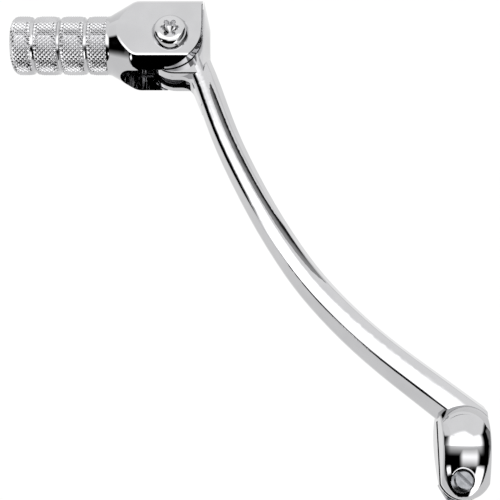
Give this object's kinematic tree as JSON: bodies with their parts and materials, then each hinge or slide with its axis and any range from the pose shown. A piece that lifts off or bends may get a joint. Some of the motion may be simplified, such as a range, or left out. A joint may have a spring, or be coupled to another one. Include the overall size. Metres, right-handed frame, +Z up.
{
  "type": "gear shift lever",
  "caption": "Curved motorcycle gear shift lever: serrated clamp boss with pinch bolt at one end, knurled toe peg folding rearwards on a sprung pivot at the other.",
  "frame": {"origin": "on the axis of the serrated shift shaft bore, near the middle of the boss", "axes": "+X runs inboard along the shift shaft axis, +Y points forward towards the toe peg end, +Z is up along the fold pivot axis; the toe peg points along -X"},
  "size_m": [0.1329, 0.1457, 0.0304],
  "materials": {
    "chromed_arm": "mirror polished chrome",
    "chromed_peg": "polished chrome, knurled grip",
    "chromed_screw": "polished",
    "bolt_steel": "zinc plated",
    "bushing_steel": "ground, lightly oiled",
    "spring_steel": "drawn spring wire",
    "nylon": "plain nylon"
  },
  "bodies": {
    "lever": {"lever_arm": "chromed_arm", "pinch_bolt": "bolt_steel", "pinch_lock_washer": "bolt_steel", "return_spring": "spring_steel"},
    "tip": {"toe_peg": "chromed_peg", "pivot_screw": "chromed_screw", "pivot_locknut": "bolt_steel", "locknut_insert": "nylon", "pivot_bushing": "bushing_steel", "upper_thrust_washer": "bushing_steel", "lower_thrust_washer": "bushing_steel"}
  },
  "joints": [
    {"name": "tip_fold", "type": "hinge", "parent": "lever", "child": "tip", "pos_m": [-0.0785, 0.1161, 0], "axis": [0, 0, 1], "range_deg": [0, 75], "stiffness_Nm_per_rad": 0.55, "springref_deg": -34.38, "deforming": ["return_spring"]}
  ]
}
